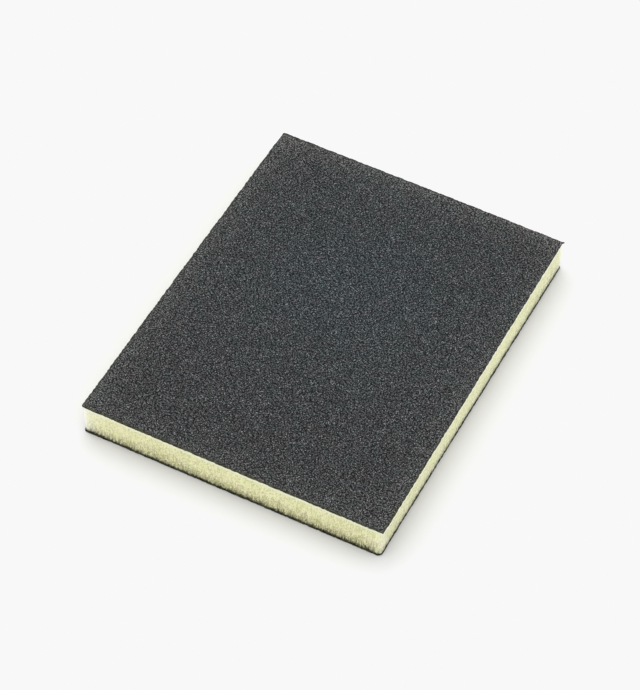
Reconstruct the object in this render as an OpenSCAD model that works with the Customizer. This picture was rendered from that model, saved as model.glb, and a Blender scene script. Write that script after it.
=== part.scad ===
// Flexible double-sided sanding pad: a slab of open-cell foam with a coat of grit
// bonded to each broad face. The pad lies on its lower coat, with its long side
// along Y and its origin at the middle of the lower face.

/* [Pad] */
// Width of the pad, across X
pad_width = 90; // [60:1:150]
// Length of the pad, along Y
pad_length = 120; // [80:1:240]

/* [Foam] */
// Thickness of the foam slab between the two coats
foam_thickness = 9; // [4:0.5:26]
// Radius of the foam's upright corners, which cutting rounds off
foam_corner_radius = 1.8; // [1:0.1:8]
// How far the cut wall bulges out past the foam's lower edge, which leaves the lower coat a thin lip
wall_bow = 0.15; // [0.1:0.05:0.8]
// Depth of the bulge's widest line, below the top of the foam
bow_depth = 3.5; // [1:0.5:4]

/* [Grit coats] */
// Thickness of each coat of grit and resin
coat_thickness = 0.5; // [0.2:0.1:1.5]
// Corner radius of the upper coat, which the knife enters first and cuts crisply
upper_corner_radius = 0.8; // [0.3:0.1:6]
// Corner radius of the lower coat, which tears a little rounder as the knife leaves
lower_corner_radius = 1.8; // [0.5:0.1:8]

/* [Hidden] */
$fn = 96;

half_width = pad_width / 2;
half_length = pad_length / 2;

// Levels of the foam, from the face the pad lies on
foam_bottom = coat_thickness;
foam_top = foam_bottom + foam_thickness;

// Height of the widest line above the foam's lower edge
bow_height = foam_thickness - bow_depth;
// The edge further from the widest line sets the arc, and is inset by the full bow
bow_reach = max(bow_height, bow_depth);
bow_radius = (pow(bow_reach, 2) + pow(wall_bow, 2)) / (2 * wall_bow);

foam_color = [0.87, 0.87, 0.68];
grit_color = [0.27, 0.28, 0.29];

// Half of the slab's cross-section: flat above and below, closed by the bowed wall
module foam_half_section(half_span) {
    intersection() {
        square([half_span, foam_thickness]);
        union() {
            square([half_span - wall_bow, foam_thickness]);
            translate([half_span - bow_radius, bow_height])
                circle(r = bow_radius);
        }
    }
}

// The slab's section pushed straight along Y, between two corners
module foam_run(half_span, run_length) {
    rotate([90, 0, 0])
        linear_extrude(run_length, center = true) {
            foam_half_section(half_span);
            mirror([1, 0])
                foam_half_section(half_span);
        }
}

// The same bowed wall turned round one upright corner
module foam_corner() {
    rotate_extrude()
        foam_half_section(foam_corner_radius);
}

// A flat plate with round corners, centred on the origin
module round_plate(half_x, half_y, radius, thickness) {
    linear_extrude(thickness)
        union() {
            square([2 * half_x, 2 * (half_y - radius)], center = true);
            square([2 * (half_x - radius), 2 * half_y], center = true);
            for (x = [-1, 1], y = [-1, 1])
                translate([x * (half_x - radius), y * (half_y - radius)])
                    circle(r = radius);
        }
}

module foam_core() {
    corner_x = half_width - foam_corner_radius;
    corner_y = half_length - foam_corner_radius;
    color(foam_color)
        translate([0, 0, foam_bottom])
            union() {
                foam_run(half_width, 2 * corner_y);
                rotate(90)
                    foam_run(half_length, 2 * corner_x);
                for (x = [-1, 1], y = [-1, 1])
                    translate([x * corner_x, y * corner_y])
                        foam_corner();
            }
}

// Both coats reach the widest line of the wall, so their rims stand a little proud of the foam
module top_abrasive() {
    color(grit_color)
        translate([0, 0, foam_top])
            round_plate(half_width, half_length, upper_corner_radius, coat_thickness);
}

module bottom_abrasive() {
    color(grit_color)
        round_plate(half_width, half_length, lower_corner_radius, coat_thickness);
}

foam_core();
top_abrasive();
bottom_abrasive();
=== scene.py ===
"""Looks of a double-sided sanding pad: pale open-cell foam with a coat of dark grit on each broad face.

Everything is in metres, in the CAD frame: Z up, origin at the middle of the face the pad lies on.
Three visible pieces stand for the three CAD nodes and take their plan size and their levels from them.
"""

import itertools
import math
from typing import NamedTuple

import bpy
import numpy as np
from mathutils import Matrix, Vector


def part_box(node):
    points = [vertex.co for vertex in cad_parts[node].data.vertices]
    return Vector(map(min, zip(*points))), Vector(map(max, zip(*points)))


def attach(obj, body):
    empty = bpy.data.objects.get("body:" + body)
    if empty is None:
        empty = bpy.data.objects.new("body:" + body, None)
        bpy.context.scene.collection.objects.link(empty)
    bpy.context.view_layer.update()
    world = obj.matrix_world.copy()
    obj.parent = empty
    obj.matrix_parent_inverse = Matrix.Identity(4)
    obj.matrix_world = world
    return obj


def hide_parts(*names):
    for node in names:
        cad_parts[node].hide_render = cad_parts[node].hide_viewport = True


MM = 0.001

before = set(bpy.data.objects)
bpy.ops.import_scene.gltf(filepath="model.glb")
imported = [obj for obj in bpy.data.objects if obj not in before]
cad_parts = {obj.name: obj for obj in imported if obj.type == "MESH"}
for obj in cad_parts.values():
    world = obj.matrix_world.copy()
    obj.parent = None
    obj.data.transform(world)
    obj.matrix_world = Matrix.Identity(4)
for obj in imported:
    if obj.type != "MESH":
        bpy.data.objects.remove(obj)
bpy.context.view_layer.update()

# Sizes taken from the CAD nodes: half the plan size, and the levels of the layers
foam_low, foam_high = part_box("foam_core")
HALF = np.array([foam_high.x, foam_high.y])
FOAM_BOTTOM = foam_low.z
FOAM_TOP = foam_high.z
FOAM_HEIGHT = FOAM_TOP - FOAM_BOTTOM
PAD_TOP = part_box("top_abrasive")[1].z
PAD_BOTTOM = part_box("bottom_abrasive")[0].z


# ---------------------------------------------------------------- noise on arrays of points

# Whole numbers that scatter a lattice point's bits, in the manner of the splitmix64 generator
AXIS_PRIMES = np.array([73856093, 19349663, 83492791], np.uint64)
SEED_PRIME = 7919
CHANNEL_STEP = 40503
SPREAD = np.uint64(0x9E3779B97F4A7C15)
# Each step folds the high bits over the low ones by a shift, then multiplies
SCATTER_STEPS = ((30, 0xBF58476D1CE4E5B9), (27, 0x94D049BB133111EB), (31, 1))
# Lattice points are moved by this much, so that none is negative
LATTICE_SHIFT = 100000
RANDOM_BITS = 24


def lattice_random(lattice, seed, channels):
    """Repeatable random numbers from 0 to 1 for whole-number lattice points, one column per channel."""
    key = (lattice + LATTICE_SHIFT).astype(np.uint64)
    start = (key * AXIS_PRIMES[: key.shape[1]]).sum(axis=1) + np.uint64(seed * SEED_PRIME)
    columns = []
    for channel in range(channels):
        value = start * SPREAD + np.uint64(channel * CHANNEL_STEP + 1)
        for shift, factor in SCATTER_STEPS:
            value ^= value >> np.uint64(shift)
            value *= np.uint64(factor)
        kept = value >> np.uint64(64 - RANDOM_BITS)
        columns.append(kept.astype(float) / 2**RANDOM_BITS)
    return np.stack(columns, axis=1)


def smooth_noise(points, size, seed):
    """Smooth noise from -1 to 1, with bumps about `size` across: one size, or one for each axis."""
    grid = points / np.asarray(size, float)
    base = np.floor(grid)
    part = grid - base
    blend = part * part * (3 - 2 * part)
    total = np.zeros(len(points))
    for corner in itertools.product((0, 1), repeat=points.shape[1]):
        corner = np.array(corner)
        weight = np.where(corner, blend, 1 - blend).prod(axis=1)
        total += weight * lattice_random(base + corner, seed, 1)[:, 0]
    return total * 2 - 1


def noise_share(points, size, seed):
    """The same noise, from 0 to 1."""
    return 0.5 + 0.5 * smooth_noise(points, size, seed)


def bubble_distances(points, size, seed):
    """Distance to the nearest and to the second nearest bubble centre, in bubble sizes."""
    grid = points / size
    base = np.floor(grid)
    nearest = np.full(len(points), np.inf)
    second = np.full(len(points), np.inf)
    for offset in itertools.product((-1, 0, 1), repeat=3):
        lattice = base + np.array(offset)
        centre = lattice + lattice_random(lattice, seed, 3)
        distance = np.linalg.norm(grid - centre, axis=1)
        second = np.minimum(second, np.maximum(nearest, distance))
        nearest = np.minimum(nearest, distance)
    return nearest, second


def ramp(value, low, high):
    """0 at `low`, 1 at `high`, held beyond them and smooth between."""
    part = np.clip((value - low) / (high - low), 0, 1)
    return part * part * (3 - 2 * part)


# ---------------------------------------------------------------- mesh building

FIRST = slice(None, -1)
LAST = slice(1, None)
# The corners of a grid's cells in turn, and the triangles each cell is cut into along either diagonal
CELL_CORNERS = ((FIRST, FIRST), (FIRST, LAST), (LAST, LAST), (LAST, FIRST))
STRAIGHT_CUT = ((0, 1, 2), (0, 2, 3))
TURNED_CUT = ((0, 1, 3), (1, 2, 3))
# The pad's length covers this share of the bake map's side, which sets the map's scale
MAP_SHARE = 0.94
MAP_SCALE = MAP_SHARE / (2 * HALF[1])


class Patches:
    """Triangles and their places on the bake map, gathered patch by patch into one closed mesh."""

    def __init__(self):
        self.triangles = []
        self.places = []

    def add_grid(self, index, uv, turned=None):
        """A grid of vertex numbers, with a map place for each.

        `turned` picks the cells that are cut along the other diagonal.
        """
        corners = [index[cell] for cell in CELL_CORNERS]
        places = [uv[cell] for cell in CELL_CORNERS]
        if turned is None:
            turned = np.zeros(corners[0].shape, bool)
        for chosen, cuts in ((~turned, STRAIGHT_CUT), (turned, TURNED_CUT)):
            for cut in cuts:
                self.triangles.append(np.stack([corners[k][chosen] for k in cut], axis=1))
                self.places.append(np.stack([places[k][chosen] for k in cut], axis=1))

    def add_fan(self, ring, ring_uv, centre, centre_uv):
        """A flat cap from one centre vertex out to a closed ring."""
        after = np.roll(ring, -1)
        after_uv = np.roll(ring_uv, -1, axis=0)
        middle = np.full(len(ring), centre)
        middle_uv = np.tile(centre_uv, (len(ring), 1))
        self.triangles.append(np.stack([ring, after, middle], axis=1))
        self.places.append(np.stack([ring_uv, after_uv, middle_uv], axis=1))

    def build(self, name, points, smooth):
        """The finished object, with its bake map."""
        triangles = np.concatenate(self.triangles)
        places = np.concatenate(self.places)
        mesh = bpy.data.meshes.new(name)
        mesh.from_pydata(points, [], triangles)
        layer = mesh.uv_layers.new(name="OFBake")
        layer.data.foreach_set("uv", places.astype(np.float32).ravel())
        mesh.polygons.foreach_set("use_smooth", np.full(len(triangles), smooth))
        mesh.update()
        piece = bpy.data.objects.new(name, mesh)
        bpy.context.scene.collection.objects.link(piece)
        return piece


def add_attribute(piece, name, values):
    """A number for each vertex, which a material reads by name."""
    layer = piece.data.attributes.new(name, "FLOAT", "POINT")
    layer.data.foreach_set("value", np.asarray(values, np.float32))


# ---------------------------------------------------------------- the cut outline

# The four sides, anticlockwise from the -Y side: outward and forward directions
SIDES = np.array([[[0, -1], [1, 0]], [[1, 0], [0, 1]], [[0, 1], [-1, 0]], [[-1, 0], [0, -1]]], float)
# How far the knife's line stands inside the outline at each side's start, middle and end, in millimetres
UPPER_CUT = ((0.04, 0.05, 0.15), (0.00, 0.34, 0.60), (0.36, 0.03, 0.00), (0.15, 0.03, 0.15))
LOWER_CUT = ((0.04, 0.00, 0.05), (0.04, 0.15, 0.06), (0.10, 0.00, 0.05), (0.10, 0.22, 1.00))
# The cut's bends fade towards the middle of the pad with this power of the distance from it
CUT_FADE = 4


def through_three(values, part):
    """The curve through a start, a middle and an end value, at each part of the way from 0 to 1."""
    start, middle, end = values
    away = 1 - part
    return start * away * (1 - 2 * part) + middle * 4 * part * away - end * part * (1 - 2 * part)


def follow_cut(points):
    """The points drawn in to the knife's line at each side, and less so towards the middle of the pad."""
    moved = points.copy()
    level = np.clip((points[:, 2] - PAD_BOTTOM) / (PAD_TOP - PAD_BOTTOM), 0, 1)
    for (outward, forward), upper, lower in zip(SIDES, UPPER_CUT, LOWER_CUT):
        across = np.clip(points[:, :2] @ outward / (HALF @ np.abs(outward)), 0, 1)
        along = 0.5 + 0.5 * np.clip(points[:, :2] @ forward / (HALF @ np.abs(forward)), -1, 1)
        inset = level * through_three(upper, along) + (1 - level) * through_three(lower, along)
        moved[:, :2] -= outward * (np.maximum(inset, 0) * MM * across**CUT_FADE)[:, None]
    return moved


def nearness(points, corner, reach):
    """1 at an upright corner of the pad, fading with distance from it."""
    return np.exp(-np.linalg.norm(points[:, :2] - HALF * corner, axis=1) / reach)


def strongest(points, corners):
    """The strongest of several corners' effects, each given as its corner, its weight and its reach."""
    return np.max([weight * nearness(points, corner, reach) for corner, weight, reach in corners], axis=0)


def distance_inside(points, outward):
    """How far inside the pad's straight side that faces `outward` each point lies."""
    return HALF @ np.abs(outward) - points[:, :2] @ outward


# ---------------------------------------------------------------- foam core

# Spacing of the wall's points, and radius of its upright corners
FOAM_STEP = 0.202 * MM
FOAM_CORNER = 1.3 * MM
# The wall is widest this far below the foam's top, and stands in this far at its lower edge
BOW_DEPTH = 3.5 * MM
LOWER_INSET = 0.15 * MM
# Just under the upper coat the foam swells out, then rounds over into the bond line
RIM_SWELL = 0.09 * MM
RIM_SWELL_DEPTH = 1.3 * MM
RIM_ROUND = 0.22 * MM
RIM_ROUND_DEPTH = 0.3 * MM
# Depths of the rows of points that are closer together there
RIM_LEVELS = (0.0, 0.05 * MM, 0.14 * MM)
# Cut bubbles: shallow near the top, deep and torn near the bottom
BUBBLE = 0.54 * MM
BUBBLE_DEPTH_HIGH = 0.10 * MM
BUBBLE_DEPTH_LOW = 0.26 * MM
# The skin between two bubbles ends, and a bubble's full hollow begins, where the distances to the two
# nearest centres differ by this many bubble sizes
BUBBLE_SKIN = 0.04
BUBBLE_HOLLOW = 0.5
# The bubbles all but close up towards the bond with the lower coat
BOND_HEIGHT = 0.7 * MM
BOND_CLOSING = 0.8
# The wall is torn more and more between these depths, which waver along it
TORN_START = 3.2 * MM
TORN_FULL = 7.8 * MM
TORN_WAVER = 0.9 * MM
TORN_WAVE = 5 * MM
# Upright fibres where it is torn
FIBRE = (0.42 * MM, 0.42 * MM, 2.4 * MM)
FIBRE_DEPTH = 0.14 * MM
# Long shallow waves all over it
WAVE = 7 * MM
WAVE_DEPTH = 0.06 * MM
# Narrow tears that run up from the lower coat, where their noise passes this range
TEAR = (0.36 * MM, 0.36 * MM, 5.0 * MM)
TEAR_NOISE = (0.1, 0.5)
TEAR_DEPTH = 0.16 * MM
# Each has its own height, and is wide open up to this share of it
TEAR_SHORT = 0.5 * MM
TEAR_LONG = 3.0 * MM
TEAR_OPEN = 0.3
# They stand this thickly all along, and crowd towards two corners
TEAR_CROWD = 0.3
TEAR_CORNERS = (((1, -1), 0.7, 26 * MM), ((-1, -1), 0.7, 9 * MM))
# The fibres between them are fully frayed, with painted shade in the slits, up to this far above the lower
# coat
FRAYED_HEIGHT = 0.3 * MM
# Painted shade darkens the wall from this height down to the lower coat, in drifts, and most of it lies low
# down
LOW_SHADE_HEIGHT = 3.4 * MM
LOW_SHADE = 0.47
LOW_SHADE_POWER = 3
LOW_SHADE_DRIFT = 0.8
# The line of soot on the lower coat's bond: its thickness, the height it is full up to, and its teeth.
# The tears get painted shade too
SOOT_LINE = 0.95 * MM
SOOT_FULL = 0.05 * MM
SOOT_TOOTH = (0.38 * MM, 0.38 * MM, 3.0 * MM)
SOOT_TOOTH_HEIGHT = 0.45 * MM
SHADE_IN_TEARS = 0.6
# It is thinner along the right wall and at the near corner, and thicker at the left one
SOOT_THIN_RIGHT = 0.42
THIN_CORNERS = (((1, -1), 0.6, 2.5 * MM),)
THICK_CORNERS = (((-1, -1), 0.7, 2.0 * MM),)
# A painted highlight on the lip of foam just under the upper coat, fading between these depths
LIP_HIGHLIGHT_FADE = (0.35 * MM, 1.1 * MM)
# Painted light makes the foam paler round three upright corners: which corner, how much, and over how far
PAINTED_LIGHT_CORNERS = (((-1, -1), 1.0, 2.0 * MM), ((1, -1), 0.3, 1.6 * MM), ((1, 1), 0.65, 2.2 * MM))
# It is also cut cleaner there, and all along the right wall, so less shade is painted there
CLEAN_CORNERS = (((-1, -1), 1.0, 2.4 * MM), ((1, -1), 1.0, 1.8 * MM), ((1, 1), 0.9, 6.0 * MM))
CLEAN_RIGHT = 0.28
# Towards the near corner it is more torn, and darkened by painted shade: all up the right wall, and low down
# in front,
# where the shade comes in between these depths
WEAR_AND_SHADE_CORNERS = (((1, -1), 0.24, 30 * MM),)
NEAR_SHADE_FADE = (3 * MM, 6.5 * MM)
# Seeds of the random marks
TORN_SEED = 21
BUBBLE_SEED = 22
FIBRE_SEED = 23
TEAR_SEED = 24
WAVE_SEED = 25
SOOT_SEED = 26
TEAR_HEIGHT_SEED = 28
# The marks of the upper cap's middle and of the lower cap's, where they aren't 0
CAP_MARKS = {"torn": (0, 1), "lip": (1, 0), "soot_and_shade": (0, 1)}
# The bake map: four strips of wall one above another, and the two round-cornered caps side by side over them
STRIP_LEFT = 0.02
STRIP_TOP = 0.09
STRIP_PITCH = 0.08
CAP_WIDTH = 0.40
UPPER_CAP_PLACE = np.array([0.23, 0.65])
LOWER_CAP_PLACE = np.array([0.67, 0.65])


def foam_path():
    """Plan points and outward directions round the foam, anticlockwise from the -Y side.

    The third result is the number of the point that each side starts at.
    """
    centre = HALF - FOAM_CORNER
    turns = round(FOAM_CORNER * math.pi / 2 / FOAM_STEP)
    points = []
    normals = []
    starts = []
    for outward, forward in SIDES:
        away = centre @ np.abs(outward)
        reach = centre @ np.abs(forward)
        starts.append(len(points))
        for along in np.linspace(-reach, reach, round(2 * reach / FOAM_STEP) + 1):
            points.append(outward * (away + FOAM_CORNER) + forward * along)
            normals.append(outward)
        corner = outward * away + forward * reach
        for angle in np.linspace(0, math.pi / 2, turns + 1)[1:-1]:
            direction = outward * math.cos(angle) + forward * math.sin(angle)
            points.append(corner + direction * FOAM_CORNER)
            normals.append(direction)
    return np.array(points), np.array(normals), starts


def foam_levels():
    """Depths of the wall's rows below the foam's top, closer together at the rounded rim."""
    rows = round((FOAM_HEIGHT - RIM_ROUND_DEPTH) / FOAM_STEP)
    return np.concatenate([RIM_LEVELS, np.linspace(RIM_ROUND_DEPTH, FOAM_HEIGHT, rows + 1)])


def wall_inset(depth):
    """How far the undisturbed wall stands inside its widest line, at each depth below the foam's top."""
    reach = FOAM_HEIGHT - BOW_DEPTH
    radius = (reach**2 + LOWER_INSET**2) / (2 * LOWER_INSET)
    bow = radius - np.sqrt(radius**2 - (depth - BOW_DEPTH) ** 2)
    swell = RIM_SWELL * (1 - ramp(depth, RIM_ROUND_DEPTH, RIM_SWELL_DEPTH))
    part = np.clip(1 - depth / RIM_ROUND_DEPTH, 0, 1)
    rounded = RIM_ROUND * (1 - np.sqrt(1 - part**2))
    return bow - swell + rounded


class FoamWall:
    """The foam's cut wall: rows of points from the top down, and marks from 0 to 1 for each point."""

    def __init__(self):
        self.plan, outward, self.starts = foam_path()
        self.depths = foam_levels()
        rows = len(self.depths)
        columns = len(self.plan)
        self.index = np.arange(rows * columns).reshape(rows, columns)
        self.depth = np.repeat(self.depths, columns)
        self.direction = np.tile(np.column_stack([outward, np.zeros(columns)]), (rows, 1))
        inset = np.repeat(wall_inset(self.depths), columns)
        self.base = np.column_stack([np.tile(self.plan, (rows, 1)), FOAM_TOP - self.depth])
        self.base -= self.direction * inset[:, None]
        # How far each point faces right, how clean it is, how much wear and painted shade it has near the
        # near corner, and how the tears crowd there
        self.right = np.maximum(self.direction[:, 0], 0)
        self.clean = np.maximum(strongest(self.base, CLEAN_CORNERS), CLEAN_RIGHT * self.right)
        self.wear_and_shade = strongest(self.base, WEAR_AND_SHADE_CORNERS)
        self.crowd = TEAR_CROWD + strongest(self.base, TEAR_CORNERS)

        self.torn = self.torn_share()
        self.tear = self.tear_share()
        self.hollow_and_shade = self.hollow_share()

    def torn_share(self):
        """How torn the wall is, which is most near the lower coat."""
        line = self.depth + TORN_WAVER * smooth_noise(self.base, TORN_WAVE, TORN_SEED)
        return np.minimum(ramp(line, TORN_START, TORN_FULL) + self.wear_and_shade, 1) * (1 - self.clean)

    def tear_share(self):
        """Where the wall is torn open just above the lower coat."""
        place = ramp(smooth_noise(self.base, TEAR, TEAR_SEED), *TEAR_NOISE)
        chance = noise_share(self.base, TEAR, TEAR_HEIGHT_SEED)
        height = TEAR_SHORT + (TEAR_LONG - TEAR_SHORT) * self.crowd * chance
        opened = ramp(self.depth, FOAM_HEIGHT - height, FOAM_HEIGHT - TEAR_OPEN * height)
        return place * opened * (0.5 + 0.5 * self.crowd) * (1 - self.clean)

    def hollow_share(self):
        """0 on the skin between two cut bubbles, and 1 well inside one."""
        nearest, second = bubble_distances(self.base, BUBBLE, BUBBLE_SEED)
        return ramp(second - nearest, BUBBLE_SKIN, BUBBLE_HOLLOW)

    def soot_and_shade_share(self):
        """The toothed sooty line on the bond, with painted shade above it and in the tears."""
        teeth = self.depth + SOOT_TOOTH_HEIGHT * smooth_noise(self.base, SOOT_TOOTH, SOOT_SEED)
        width = SOOT_LINE * (1 - SOOT_THIN_RIGHT * self.right)
        width *= 1 + strongest(self.base, THICK_CORNERS) - strongest(self.base, THIN_CORNERS)
        line = ramp(teeth, FOAM_HEIGHT - width, FOAM_HEIGHT - SOOT_FULL)
        low = np.clip((self.depth - FOAM_HEIGHT + LOW_SHADE_HEIGHT) / LOW_SHADE_HEIGHT, 0, 1)
        drift = 1 + LOW_SHADE_DRIFT * smooth_noise(self.base, TEAR, TEAR_SEED)
        low_shade = LOW_SHADE * low**LOW_SHADE_POWER * drift * (1 - self.clean)
        return np.max([line, low_shade, SHADE_IN_TEARS * self.tear], axis=0)

    def frayed_share(self):
        """How frayed the fibres between the tears are, which sets how much painted shade shows in the slits.
        """
        low = ramp(self.depth, FOAM_HEIGHT - TEAR_LONG, FOAM_HEIGHT - FRAYED_HEIGHT)
        return (0.5 + 0.5 * self.crowd) * low * (1 - self.clean)

    def points(self):
        """The wall pressed in by bubbles, fibres and tears, and drawn in to the knife's line."""
        bubbles = (BUBBLE_DEPTH_HIGH + (BUBBLE_DEPTH_LOW - BUBBLE_DEPTH_HIGH) * self.torn) * self.hollow_and_shade
        fibres = FIBRE_DEPTH * noise_share(self.base, FIBRE, FIBRE_SEED) * self.torn
        waves = WAVE_DEPTH * noise_share(self.base, WAVE, WAVE_SEED)
        closing = BOND_CLOSING * ramp(self.depth, FOAM_HEIGHT - BOND_HEIGHT, FOAM_HEIGHT)
        free = ramp(self.depth, 0, RIM_ROUND_DEPTH) * (1 - closing)
        pressed = (bubbles + fibres + waves) * free + TEAR_DEPTH * self.tear
        return follow_cut(self.base - self.direction * pressed[:, None])

    def marks(self):
        """The marks that the foam's material reads, by name."""
        return {
            # painted shade in the hollows of the cut bubbles
            "cavity_shade": self.hollow_and_shade,
            "torn": self.torn,
            # painted shade towards the near corner
            "wear_and_shade": self.wear_and_shade * np.maximum(self.right, ramp(self.depth, *NEAR_SHADE_FADE)),
            # painted highlight on the lip under the upper coat
            "lip": 1 - ramp(self.depth, *LIP_HIGHLIGHT_FADE),
            # the sooty line on the bond, with painted shade above it and in the tears
            "soot_and_shade": self.soot_and_shade_share(),
            # where painted shade shows in the slits between frayed fibres
            "frayed": self.frayed_share(),
            # painted light round three upright corners
            "pale": strongest(self.base, PAINTED_LIGHT_CORNERS),
            "right": self.right,
        }

    def patches(self):
        """The wall's triangles and the two caps, whose middles are the two vertices after the wall's."""
        patches = Patches()
        columns = len(self.plan)
        ends = self.starts[1:] + [columns]
        for number, (start, end) in enumerate(zip(self.starts, ends)):
            strip = self.index[:, np.arange(start, end + 1) % columns]
            across = STRIP_LEFT + np.arange(end + 1 - start) * FOAM_STEP * MAP_SCALE
            down = STRIP_TOP + number * STRIP_PITCH - self.depths * MAP_SCALE
            uv = np.stack(np.meshgrid(across, down), axis=2)
            patches.add_grid(strip[::-1], uv[::-1])
        cap = self.plan * (CAP_WIDTH / (2 * HALF[0]))
        middle = self.index.size
        patches.add_fan(self.index[0], UPPER_CAP_PLACE + cap, middle, UPPER_CAP_PLACE)
        patches.add_fan(self.index[-1][::-1], LOWER_CAP_PLACE + cap[::-1], middle + 1, LOWER_CAP_PLACE)
        return patches


def make_foam():
    """The foam core: a bowed wall of cut bubbles, with plain caps where the coats are bonded on."""
    wall = FoamWall()
    cap_middles = [[0, 0, FOAM_TOP], [0, 0, FOAM_BOTTOM]]
    points = np.concatenate([wall.points(), cap_middles])
    foam = wall.patches().build("foam_body", points, smooth=True)
    for name, values in wall.marks().items():
        add_attribute(foam, name, np.append(values, CAP_MARKS.get(name, (0, 0))))
    return foam


# ---------------------------------------------------------------- grit coats

# Spacing of the grains, and how far each one strays from its place, in spacings
GRIT_STEP = 0.342 * MM
GRIT_JITTER = 0.32
# Grains lie up to this far below the face, most of them nearer to it, and the edge lies a little lower still
GRIT_RELIEF = 0.12 * MM
GRIT_DEPTH_POWER = 1.3
EDGE_DROP = 0.04 * MM
# The rim is drawn in by rows of chips up to this deep, and by this share of that where it meets the foam
RIM_ROWS = 3
RIM_ROUGH = 0.10 * MM
RIM_FOOT = 0.4
# A point is in a corner's square past this many radii, which leaves out rounding errors
JUST_PAST_ZERO = 1e-9
# The edge is torn in waves this long, deeper and deeper as their noise passes this range
RAGGED_WAVE = 0.65 * MM
RAGGED_NOISE = (-0.5, 0.7)
# Painted light from the paper makes the coat paler along its edges: how much at each side, in the order of
# SIDES, and over how far
EDGE_PAINTED_LIGHT = (0.42, 0.50, 1.00, 0.74)
EDGE_REACH = 3.6 * MM
# Resin shows along its edges, this far in. Foam dust stains it, most in front and on the right
RESIN_WIDTH = 0.85 * MM
RESIN_SHOWN = (1.0, 1.0, 1.0, 1.0)
RESIN_STAIN = (1.0, 1.0, 0.0, 0.2)
# A coat's own seed gives its grains, and with these added, the tears in its sides and ends and its chips
SIDE_TEARS = 10
END_TEARS = 20
RIM_CHIPS = 30
# The bake map: the gritty face, its rim in four thin upright strips beside it, the plain face at lower right
FACE_PLACE = np.array([0.01, 0.03])
RIM_LEFT = 0.74
RIM_PITCH = 0.012
RIM_WIDTH = 0.004
PLAIN_PLACE = np.array([0.89, 0.2])
PLAIN_WIDTH = 0.19


class Coat(NamedTuple):
    """What sets the two coats apart."""

    name: str
    # Levels of its gritty face and of its plain face against the foam
    outer: float
    inner: float
    # Radius of each corner
    radii: dict
    # How deep its edge is torn
    torn: float
    # How far the knife pulled out the points of some corners
    burrs: dict
    seed: int


# Crisp corners, because the knife enters here, with two of them pulled out
UPPER_COAT = Coat(
    name="upper_grit",
    outer=PAD_TOP,
    inner=FOAM_TOP,
    radii={(1, -1): 0.25 * MM, (-1, -1): 0.25 * MM, (-1, 1): 0.5 * MM, (1, 1): 0.35 * MM},
    torn=0.17 * MM,
    burrs={(1, 1): (0.62 * MM, 0.34 * MM), (1, -1): (0.12 * MM, 0.0)},
    seed=40,
)
# Rounder corners, because the knife leaves here
LOWER_COAT = Coat(
    name="lower_grit",
    outer=PAD_BOTTOM,
    inner=FOAM_BOTTOM,
    radii={(1, -1): 1.3 * MM, (-1, -1): 0.7 * MM, (-1, 1): 1.2 * MM, (1, 1): 1.3 * MM},
    torn=0.10 * MM,
    burrs={},
    seed=50,
)


def rounded_corners(plan, radii):
    """Plan points of the pad's rectangle, with each corner's square squeezed into its quarter circle."""
    moved = plan.copy()
    for sides, radius in radii.items():
        centre = np.array(sides) * (HALF - radius)
        part = (plan - centre) * np.array(sides) / radius
        inside = (part > JUST_PAST_ZERO).all(axis=1)
        squeeze = part[inside].max(axis=1) / np.linalg.norm(part[inside], axis=1)
        moved[inside] = centre + (plan[inside] - centre) * squeeze[:, None]
    return moved


def ragged(plan, seed):
    """How deeply the edge is torn near each plan point, from 0 to 1."""
    return ramp(smooth_noise(plan, RAGGED_WAVE, seed), *RAGGED_NOISE)


def in_order(index, uv, facing):
    """The grid with its rows in the order that turns its faces the right way out."""
    return (index, uv) if facing > 0 else (index[::-1], uv[::-1])


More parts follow.
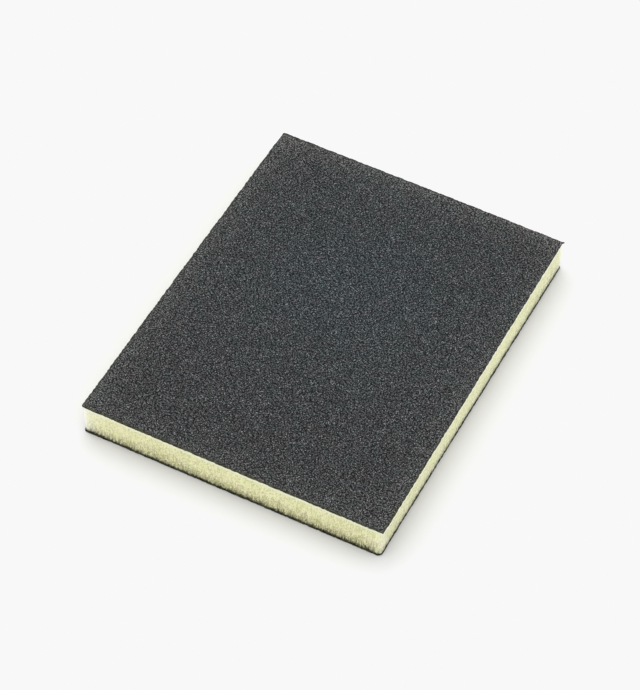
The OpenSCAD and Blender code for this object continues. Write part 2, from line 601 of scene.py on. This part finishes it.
class CoatSheet:
    """A coat's points: a grid of grains for its gritty face, then the rings of its rim."""

    def __init__(self, coat):
        self.coat = coat
        self.facing = 1 if coat.outer > coat.inner else -1
        steps = [round(2 * half / GRIT_STEP) for half in HALF]
        lines = [np.linspace(-half, half, count + 1) for half, count in zip(HALF, steps)]
        self.grid = np.stack(np.meshgrid(*lines), axis=2)
        rows, columns = self.grid.shape[:2]
        self.index = np.arange(rows * columns).reshape(rows, columns)
        lattice = np.stack(np.meshgrid(np.arange(columns), np.arange(rows)), axis=2)
        # Random numbers for each grain: two for its place, one for its depth, one for how its cell is cut
        self.chance = lattice_random(lattice.reshape(-1, 2), coat.seed, 4)
        self.plan, on_edge = self.torn_plan()
        self.face = self.gritty_face(on_edge)
        # The grid's outermost points, anticlockwise from the front left corner
        first, last = self.index[0], self.index[-1]
        left, right = self.index[:, 0], self.index[:, -1]
        self.loop = np.concatenate([first[:-1], right[:-1], last[:0:-1], left[:0:-1]])

    def torn_plan(self):
        """The plan points, with rounded corners and a ragged edge, and which of them are on the edge."""
        plan = self.grid.reshape(-1, 2)
        on_side, on_end = np.isclose(np.abs(plan), HALF).T
        jitter = (self.chance[:, :2] * 2 - 1) * GRIT_JITTER * GRIT_STEP
        jitter[on_side, 0] = 0
        jitter[on_end, 1] = 0
        plan = rounded_corners(plan + jitter, self.coat.radii)
        side_line = np.column_stack([np.sign(plan[:, 0]) * HALF[0], plan[:, 1]])
        end_line = np.column_stack([plan[:, 0], np.sign(plan[:, 1]) * HALF[1]])
        plan[:, 0] *= 1 - self.coat.torn * ragged(side_line, self.coat.seed + SIDE_TEARS) / HALF[0]
        plan[:, 1] *= 1 - self.coat.torn * ragged(end_line, self.coat.seed + END_TEARS) / HALF[1]
        return plan, on_side | on_end

    def gritty_face(self, on_edge):
        """The gritty face: each grain at its own depth, cut along the knife's line, with its burrs."""
        relief = GRIT_RELIEF * self.chance[:, 2] ** GRIT_DEPTH_POWER
        relief[on_edge] += EDGE_DROP
        face = follow_cut(np.column_stack([self.plan, self.coat.outer - self.facing * relief]))
        for (side_x, side_y), pull in self.coat.burrs.items():
            corner = self.index[-1 if side_y > 0 else 0, -1 if side_x > 0 else 0]
            face[corner, :2] += pull
        return face

    def broken_rim(self):
        """The rings of the rim, from just under the gritty face to the foam, each drawn in by its chips."""
        edge = self.face[self.loop]
        from_middle = np.linalg.norm(edge[:, :2], axis=1)
        rings = []
        for row in range(1, RIM_ROWS + 1):
            part = row / RIM_ROWS
            lattice = np.column_stack([self.loop, np.full(len(self.loop), row)])
            chips = lattice_random(lattice, self.coat.seed + RIM_CHIPS, 1)[:, 0]
            drawn = RIM_ROUGH * (chips if row < RIM_ROWS else RIM_FOOT)
            ring = edge.copy()
            ring[:, :2] *= (1 - drawn / from_middle)[:, None]
            ring[:, 2] += (self.coat.inner - ring[:, 2]) * part
            rings.append(ring)
        return rings

    def points(self):
        """All of the coat's points, with the middle of its plain face last."""
        return np.concatenate([self.face, *self.broken_rim(), [[0, 0, self.coat.inner]]])

    def patches(self):
        """The triangles of the gritty face, the rim and the plain face."""
        patches = Patches()
        rows, columns = self.index.shape
        around = len(self.loop)
        face_uv = FACE_PLACE + (self.grid + HALF) * MAP_SCALE
        turned = self.chance[:, 3].reshape(rows, columns)[:-1, :-1] > 0.5
        patches.add_grid(*in_order(self.index, face_uv, self.facing), turned)

        rings = self.index.size + np.arange(RIM_ROWS * around).reshape(RIM_ROWS, around)
        rim = np.vstack([self.loop, rings])
        starts = np.cumsum([0, columns - 1, rows - 1, columns - 1])
        ends = np.append(starts[1:], around)
        for number, (start, end) in enumerate(zip(starts, ends)):
            strip = rim[:, np.arange(start, end + 1) % around]
            up = FACE_PLACE[1] + np.arange(end + 1 - start) * GRIT_STEP * MAP_SCALE
            out = RIM_LEFT + number * RIM_PITCH - np.linspace(0, RIM_WIDTH, RIM_ROWS + 1)
            uv = np.stack(np.meshgrid(up, out), axis=2)[:, :, ::-1]
            patches.add_grid(*in_order(strip, uv, -self.facing))

        plain_uv = PLAIN_PLACE + self.plan[self.loop] * PLAIN_WIDTH / (2 * HALF[0])
        ring, plain_uv = in_order(rim[-1], plain_uv, -self.facing)
        patches.add_fan(ring, plain_uv, self.index.size + rings.size, PLAIN_PLACE)
        return patches


def edge_share(points, amounts):
    """The amount at each edge of the coat, falling to 0 over the resin that shows along it."""
    total = np.zeros(len(points))
    for (outward, _), amount in zip(SIDES, amounts):
        fade = ramp(distance_inside(points, outward), RESIN_WIDTH / 4, RESIN_WIDTH)
        total = np.maximum(total, amount * (1 - fade))
    return total


def edge_painted_light(points):
    """How much paler painted light makes each point for lying near the edges of the coat."""
    total = np.zeros(len(points))
    for (outward, _), amount in zip(SIDES, EDGE_PAINTED_LIGHT):
        total += amount * np.exp(-np.maximum(distance_inside(points, outward), 0) / EDGE_REACH)
    return total


def make_coat(coat):
    """A coat of grit: a rough outer face, a broken rim, and a plain face against the foam."""
    sheet = CoatSheet(coat)
    points = sheet.points()
    piece = sheet.patches().build(coat.name, points, smooth=False)
    add_attribute(piece, "rim", edge_share(points, RESIN_SHOWN))
    add_attribute(piece, "stain", edge_share(points, RESIN_STAIN))
    # painted light from the paper along the coat's edges
    add_attribute(piece, "pale", edge_painted_light(points))
    return piece


# ---------------------------------------------------------------- shader nodes

# Numbers of a Mix node's colour sockets
MIX_FACTOR = 0
MIX_FIRST = 6
MIX_SECOND = 7
MIX_RESULT = 2


class Shader:
    """A material's node tree, with short ways to add and join its nodes."""

    def __init__(self, name, roughness, specular):
        self.material = bpy.data.materials.new(name)
        self.material.use_nodes = True
        self.tree = self.material.node_tree
        self.bsdf = self.tree.nodes["Principled BSDF"]
        self.bsdf.inputs["Roughness"].default_value = roughness
        self.bsdf.inputs["Specular IOR Level"].default_value = specular
        self.place = self.node("ShaderNodeTexCoord").outputs["Object"]

    def node(self, kind, **settings):
        """A new node with these settings."""
        made = self.tree.nodes.new(kind)
        for name, value in settings.items():
            setattr(made, name, value)
        return made

    def feed(self, entry, value):
        """Gives an input its number or its colour, or joins another node's output to it."""
        if isinstance(value, tuple):
            entry.default_value = (*value, 1.0)
        elif isinstance(value, (int, float)):
            entry.default_value = value
        else:
            self.tree.links.new(value, entry)

    def scaled_place(self, factors, turn=0.0):
        """The object's coordinates, turned about Z and each times its factor: under 1 makes longer marks."""
        mapping = self.node("ShaderNodeMapping")
        mapping.inputs["Scale"].default_value = factors
        mapping.inputs["Rotation"].default_value[2] = turn
        self.feed(mapping.inputs["Vector"], self.place)
        return mapping.outputs["Vector"]

    def noise(self, size, detail=2.0, stretch=(1, 1, 1)):
        """Noise with bumps about `size` across, as a 0 to 1 output."""
        made = self.node("ShaderNodeTexNoise")
        self.feed(made.inputs["Scale"], 1 / size)
        self.feed(made.inputs["Detail"], detail)
        self.feed(made.inputs["Vector"], self.scaled_place(stretch))
        return made.outputs["Fac"]

    def cell_chances(self, size, stretch=(1, 1, 1)):
        """Three random numbers for each cell about `size` across, by the names Red, Green and Blue."""
        split = self.node("ShaderNodeSeparateColor")
        cells = self.node("ShaderNodeTexVoronoi")
        self.feed(cells.inputs["Scale"], 1 / size)
        self.feed(cells.inputs["Vector"], self.scaled_place(stretch))
        self.feed(split.inputs[0], cells.outputs["Color"])
        return split.outputs

    def cell_skins(self, size):
        """Distance to the edge of cells about `size` across."""
        made = self.node("ShaderNodeTexVoronoi", feature="DISTANCE_TO_EDGE")
        self.feed(made.inputs["Scale"], 1 / size)
        self.feed(made.inputs["Vector"], self.scaled_place((1, 1, 1)))
        return made.outputs["Distance"]

    def flat_cells(self, size, randomness, turn):
        """Distance to the middle of cells about `size` across, which run upright and askew to the sides."""
        made = self.node("ShaderNodeTexVoronoi", voronoi_dimensions="2D")
        self.feed(made.inputs["Scale"], 1 / size)
        self.feed(made.inputs["Randomness"], randomness)
        self.feed(made.inputs["Vector"], self.scaled_place((1, 1, 1), turn))
        return made.outputs["Distance"]

    def around(self, centre, reach):
        """1 at this point of the object, falling to 0 at this distance from it."""
        mapping = self.node("ShaderNodeMapping")
        mapping.inputs["Location"].default_value = [-part / reach for part in centre]
        mapping.inputs["Scale"].default_value = (1 / reach, 1 / reach, 1 / reach)
        made = self.node("ShaderNodeTexGradient", gradient_type="SPHERICAL")
        self.feed(mapping.inputs["Vector"], self.place)
        self.feed(made.inputs["Vector"], mapping.outputs["Vector"])
        return made.outputs["Fac"]

    def attribute(self, name):
        """The piece's own number at each point."""
        return self.node("ShaderNodeAttribute", attribute_name=name).outputs["Fac"]

    def span(self, value, low, high, to_low=0.0, to_high=1.0):
        """The value moved from one range to another, and held at its ends."""
        made = self.node("ShaderNodeMapRange")
        self.feed(made.inputs["From Min"], low)
        self.feed(made.inputs["From Max"], high)
        self.feed(made.inputs["To Min"], to_low)
        self.feed(made.inputs["To Max"], to_high)
        self.feed(made.inputs["Value"], value)
        return made.outputs["Result"]

    def math(self, operation, first, second):
        """Two numbers or outputs, put together by an operation."""
        made = self.node("ShaderNodeMath", operation=operation)
        self.feed(made.inputs[0], first)
        self.feed(made.inputs[1], second)
        return made.outputs[0]

    def mix(self, factor, first, second, blend="MIX"):
        """Two colours, each a tuple or an output, mixed by a factor."""
        made = self.node("ShaderNodeMix", data_type="RGBA", blend_type=blend)
        self.feed(made.inputs[MIX_FACTOR], factor)
        self.feed(made.inputs[MIX_FIRST], first)
        self.feed(made.inputs[MIX_SECOND], second)
        return made.outputs[MIX_RESULT]

    def times(self, colour, factor):
        """A colour multiplied by a number or by another colour."""
        return self.mix(1.0, colour, factor, blend="MULTIPLY")

    def bump(self, height, strength, distance):
        """Fine relief that only the light shows."""
        made = self.node("ShaderNodeBump")
        self.feed(made.inputs["Strength"], strength)
        self.feed(made.inputs["Distance"], distance)
        self.feed(made.inputs["Height"], height)
        self.feed(self.bsdf.inputs["Normal"], made.outputs["Normal"])

    def paint(self, colour):
        """The finished material, in this colour."""
        self.feed(self.bsdf.inputs["Base Color"], colour)
        return self.material


# ---------------------------------------------------------------- grit material

# Each grain's tone is this number to the power of its chance, so most are dark and a few are pale
GRAIN = 0.20 * MM
GRAIN_TONES = 8.0
GRAIN_ROUGHNESS = (0.4, 0.8)
# Their facets, finer than the mesh
FACET = 0.12 * MM
FACET_HEIGHT = 0.03 * MM
# The few grains with a chance past this range glint
GLINT_CHANCE = (0.976, 0.98)
GLINT = (0.26, 0.265, 0.27)
# Grains lie in clumps with dark gaps between: from this near a clump's middle to this far, in clump sizes,
# what the tone is multiplied by falls from the first number to the second
CLUMP = 0.51 * MM
CLUMP_FADE = (0.05, 0.56)
CLUMP_TONES = (2.38, 0.29)
CLUMP_RANDOMNESS = 0.88
# Their rows are turned by this angle, so that they don't follow the sides
CLUMP_TURN = 0.55
# The colour is plain, cooler round the middle of the face, and paler towards the edges with painted light
# from the paper
PLAIN_GRIT = (0.01118, 0.01151, 0.01181)
COOL_GRIT = (0.01068, 0.01240, 0.01315)
PAINTED_LIGHT_GRIT = (0.02236, 0.02272, 0.02170)
COOL_CENTRE = (0, 16 * MM, 10 * MM)
COOL_REACH = 62 * MM
COOL_FADE = (0.1, 0.8)
# Faint patches of a warmer and a greener hue
HUE_PATCH = 4.5 * MM
HUE_FADE = (0.38, 0.62)
WARM_HUE = (1.035, 0.985, 1.0)
GREEN_HUE = (0.965, 1.015, 1.0)
# The resin along the edges: bare, or stained in blotches by foam dust
BLOTCH = 0.7 * MM
BLOTCH_FADE = (0.4, 0.6)
BARE_RESIN = (0.030, 0.031, 0.031)
DARK_STAIN = (0.018, 0.0192, 0.0085)
PALE_STAIN = (0.074, 0.076, 0.037)


def grit_material():
    """Dark mineral grains in resin: each has its own grey, and a few glint.

    The middle of the face is cooler, its edges are paler with painted light, and bare or stained resin shows
    along them.
    """
    shader = Shader("grit", roughness=0.6, specular=0.05)
    chance = shader.cell_chances(GRAIN)
    tone = shader.math("POWER", GRAIN_TONES, chance["Red"])
    clump = shader.flat_cells(CLUMP, CLUMP_RANDOMNESS, CLUMP_TURN)
    level = shader.math("MULTIPLY", tone, shader.span(clump, *CLUMP_FADE, *CLUMP_TONES))
    cool = shader.span(shader.around(COOL_CENTRE, COOL_REACH), *COOL_FADE)
    plain = shader.mix(cool, PLAIN_GRIT, COOL_GRIT)
    # painted light from the paper along the edges
    with_painted_light = shader.mix(shader.attribute("pale"), plain, PAINTED_LIGHT_GRIT)
    patch = shader.span(shader.noise(HUE_PATCH, detail=1.0), *HUE_FADE)
    grey = shader.times(shader.times(with_painted_light, shader.mix(patch, WARM_HUE, GREEN_HUE)), level)
    sparkling = shader.mix(shader.span(chance["Green"], *GLINT_CHANCE), grey, GLINT)
    stained = shader.mix(shader.span(shader.noise(BLOTCH), *BLOTCH_FADE), DARK_STAIN, PALE_STAIN)
    resin = shader.mix(shader.attribute("stain"), BARE_RESIN, stained)
    shader.feed(shader.bsdf.inputs["Roughness"], shader.span(chance["Blue"], 0.0, 1.0, *GRAIN_ROUGHNESS))
    shader.bump(shader.noise(FACET, detail=1.0), strength=0.5, distance=FACET_HEIGHT)
    return shader.paint(shader.mix(shader.attribute("rim"), sparkling, resin))


# ---------------------------------------------------------------- foam material

# Light spreads this far inside the foam, blue a little less
GLOW_REACH = 3.5 * MM
GLOW_COLOURS = (1.0, 1.0, 0.8)
# The struts have two tints, in patches, and the hollows get painted shade, darker as the wall is torn
TINT_PATCH = 3 * MM
TINT_FADE = (0.35, 0.65)
CREAM_STRUT = (0.83, 0.79, 0.52)
GREEN_STRUT = (0.76, 0.79, 0.45)
CLEAN_HOLLOW_SHADE = (0.72, 0.71, 0.40)
TORN_HOLLOW_SHADE = (0.52, 0.50, 0.25)
# What the foam is multiplied by on the right wall, for its painted cooler light, and where painted shade
# darkens it towards the near corner
RIGHT_PAINTED_LIGHT = (0.985, 1.0, 1.02)
NEAR_PAINTED_SHADE = (0.62, 0.61, 0.58)
# Its colours for the painted highlight at the lip, the painted light at the pale corners, and the soot with
# painted shade
LIP_HIGHLIGHT = (0.82, 0.83, 0.60)
PAINTED_LIGHT_FOAM = (0.92, 0.93, 0.86)
SOOT_AND_SHADE = (0.05, 0.047, 0.03)
# Open cells too small for the mesh: those past this range of chance get painted shade, darker where it is
# torn
PIT = 0.27 * MM
PIT_STRETCH = (1, 1, 0.6)
PIT_CHANCE = (0.68, 0.78)
PIT_STRENGTHS = (0.37, 0.60)
PIT_SHADE = (0.34, 0.32, 0.15)
# Painted shade in the upright marks of the knife
STREAK = 0.30 * MM
STREAK_STRETCH = (1, 1, 0.11)
STREAK_FADE = (0.51, 0.62)
STREAK_STRENGTHS = (0.16, 0.97)
STREAK_SHADE = (0.40, 0.38, 0.19)
# The skins between its smallest cells, finer than the mesh
CELL = 0.30 * MM
CELL_HEIGHT = 0.08 * MM
# Thin slits of painted shade between the frayed fibres
SLIT = 0.28 * MM
SLIT_STRETCH = (1, 1, 0.1)
SLIT_FADE = (0.5, 0.55)
SLIT_SHADE = (0.05, 0.045, 0.025)


def foam_material():
    """Pale open-cell foam: light struts, painted shade in its hollows, pits and the streaks where the knife
    tore, soot by the lower coat, and painted light.
    """
    shader = Shader("foam", roughness=0.85, specular=0.1)
    shader.bsdf.inputs["Subsurface Weight"].default_value = 0.5
    shader.bsdf.inputs["Subsurface Radius"].default_value = GLOW_COLOURS
    shader.bsdf.inputs["Subsurface Scale"].default_value = GLOW_REACH
    torn = shader.attribute("torn")
    tint = shader.span(shader.noise(TINT_PATCH, detail=1.0), *TINT_FADE)
    strut = shader.mix(tint, CREAM_STRUT, GREEN_STRUT)
    # painted shade in the hollows, darker where torn
    hollow_and_shade = shader.mix(torn, CLEAN_HOLLOW_SHADE, TORN_HOLLOW_SHADE)
    foam = shader.mix(shader.attribute("cavity_shade"), strut, hollow_and_shade)
    # painted shade in the small open cells
    foam = shader.mix(pit_shade(shader, torn), foam, PIT_SHADE)
    # painted shade in the knife's marks
    foam = shader.mix(streak_shade(shader, torn), foam, STREAK_SHADE)
    # painted cooler light on the right wall
    foam = shader.mix(shader.attribute("right"), foam, RIGHT_PAINTED_LIGHT, blend="MULTIPLY")
    # painted shade towards the near corner
    foam = shader.mix(shader.attribute("wear_and_shade"), foam, NEAR_PAINTED_SHADE, blend="MULTIPLY")
    # painted highlight on the lip
    foam = shader.mix(shader.attribute("lip"), foam, LIP_HIGHLIGHT)
    # painted light round three corners
    foam = shader.mix(shader.attribute("pale"), foam, PAINTED_LIGHT_FOAM)
    # soot on the bond, with painted shade low down and in the tears
    foam = shader.mix(shader.attribute("soot_and_shade"), foam, SOOT_AND_SHADE)
    # painted shade in the slits
    foam = shader.mix(slit_shade(shader), foam, SLIT_SHADE)
    shader.bump(shader.cell_skins(CELL), strength=0.35, distance=CELL_HEIGHT)
    return shader.paint(foam)


def pit_shade(shader, torn):
    """Where painted shade shows in the small open cells, and how strongly."""
    chosen = shader.span(shader.cell_chances(PIT, PIT_STRETCH)["Red"], *PIT_CHANCE)
    return shader.math("MULTIPLY", chosen, shader.span(torn, 0.0, 1.0, *PIT_STRENGTHS))


def streak_shade(shader, torn):
    """Where painted shade shows in the knife's marks, and how strongly."""
    mark = shader.span(shader.noise(STREAK, stretch=STREAK_STRETCH), *STREAK_FADE)
    return shader.math("MULTIPLY", mark, shader.span(torn, 0.0, 1.0, *STREAK_STRENGTHS))


def slit_shade(shader):
    """Where painted shade shows in the slits, just above the lower coat."""
    mark = shader.span(shader.noise(SLIT, detail=1.0, stretch=SLIT_STRETCH), *SLIT_FADE)
    return shader.math("MULTIPLY", mark, shader.attribute("frayed"))


# ---------------------------------------------------------------- studio

# Levels are scene light: the paper and the surround are both past level 1, so the paper has no visible end
SURROUND = 1.24
LAMP_LEVEL = 0.24
PAPER = (0.735, 0.735, 0.746025)
LAMP_TILT = math.radians(30)
LAMP_HEADING = math.radians(135)
LAMP_SOFTNESS = math.radians(45)
# The picture is exposed for the pad: light of level 1 and above shows as this even white
PAPER_WHITE = 0.939
# The paper reaches this far each way, just under the pad
FLOOR_REACH = 20.0
FLOOR_GAP = 0.01 * MM


def expose_for_white_paper():
    """A straight display curve that stops just short of full white."""
    view = bpy.context.scene.view_settings
    view.view_transform = "Standard"
    view.use_curve_mapping = True
    mapping = view.curve_mapping
    mapping.extend = "HORIZONTAL"
    combined = mapping.curves[3]
    combined.points[1].location = (1.0, PAPER_WHITE)
    for point in combined.points:
        point.handle_type = "VECTOR"
    mapping.update()


def make_surround():
    """An even white surround."""
    world = bpy.data.worlds.new("surround")
    world.use_nodes = True
    background = world.node_tree.nodes["Background"]
    background.inputs["Color"].default_value = (1, 1, 1, 1)
    background.inputs["Strength"].default_value = SURROUND
    bpy.context.scene.world = world


def heading(azimuth, elevation):
    """The direction at this azimuth, anticlockwise from +X, and this elevation."""
    flat = math.cos(elevation)
    return Vector((flat * math.cos(azimuth), flat * math.sin(azimuth), math.sin(elevation)))


def make_lamp():
    """One broad soft lamp, high up behind the pad's left side."""
    lamp = bpy.data.lights.new("softbox", "SUN")
    lamp.angle = LAMP_SOFTNESS
    lamp.energy = LAMP_LEVEL * math.pi / math.cos(LAMP_TILT)
    holder = bpy.data.objects.new("softbox", lamp)
    holder.rotation_mode = "QUATERNION"
    holder.rotation_quaternion = heading(LAMP_HEADING, math.pi / 2 - LAMP_TILT).to_track_quat("Z", "Y")
    bpy.context.scene.collection.objects.link(holder)


def floor_material():
    """Plain matt white studio paper."""
    shader = Shader("studio_floor", roughness=1.0, specular=0.0)
    shader.feed(shader.bsdf.inputs["Base Color"], PAPER)
    return shader.material


def make_floor():
    """A wide sheet of paper under the pad."""
    level = PAD_BOTTOM - FLOOR_GAP
    corners = [(x * FLOOR_REACH, y * FLOOR_REACH, level) for x, y in ((-1, -1), (1, -1), (1, 1), (-1, 1))]
    mesh = bpy.data.meshes.new("studio_floor")
    mesh.from_pydata(corners, [], [(0, 1, 2, 3)])
    floor = bpy.data.objects.new("studio_floor", mesh)
    bpy.context.scene.collection.objects.link(floor)
    floor.data.materials.append(floor_material())


# The photograph's view: a long lens from above the front right, tipped a little anticlockwise.
# At azimuth 0 the camera would look along +Y
CAMERA_AZIMUTH = math.radians(22.825)
CAMERA_ELEVATION = math.radians(48.247)
CAMERA_ROLL = math.radians(4.781)
CAMERA_DISTANCE = 839.9 * MM
CAMERA_AIM = Vector((1.365 * MM, -9.215 * MM, PAD_TOP))
CAMERA_LENS = 160.2
CAMERA_SENSOR = 36.0
CAMERA_CLIP = (0.05, 60.0)


def make_camera():
    """The camera, aimed at a point just in front of the middle of the upper face."""
    data = bpy.data.cameras.new("camera")
    data.lens = CAMERA_LENS
    data.sensor_width = CAMERA_SENSOR
    data.clip_start, data.clip_end = CAMERA_CLIP
    camera = bpy.data.objects.new("camera", data)
    back = heading(CAMERA_AZIMUTH - math.pi / 2, CAMERA_ELEVATION)
    level_view = (-back).to_track_quat("-Z", "Y").to_matrix()
    turn = level_view @ Matrix.Rotation(CAMERA_ROLL, 3, "Z")
    camera.matrix_world = Matrix.Translation(CAMERA_AIM + back * CAMERA_DISTANCE) @ turn.to_4x4()
    bpy.context.scene.collection.objects.link(camera)
    bpy.context.scene.camera = camera


# ---------------------------------------------------------------- assembly

make_camera()
make_surround()
make_lamp()
make_floor()
expose_for_white_paper()

foam = make_foam()
foam.data.materials.append(foam_material())
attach(foam, "root")
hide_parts("foam_core")

grit = grit_material()
for coat, node in ((make_coat(UPPER_COAT), "top_abrasive"), (make_coat(LOWER_COAT), "bottom_abrasive")):
    coat.data.materials.append(grit)
    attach(coat, "root")
    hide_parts(node)
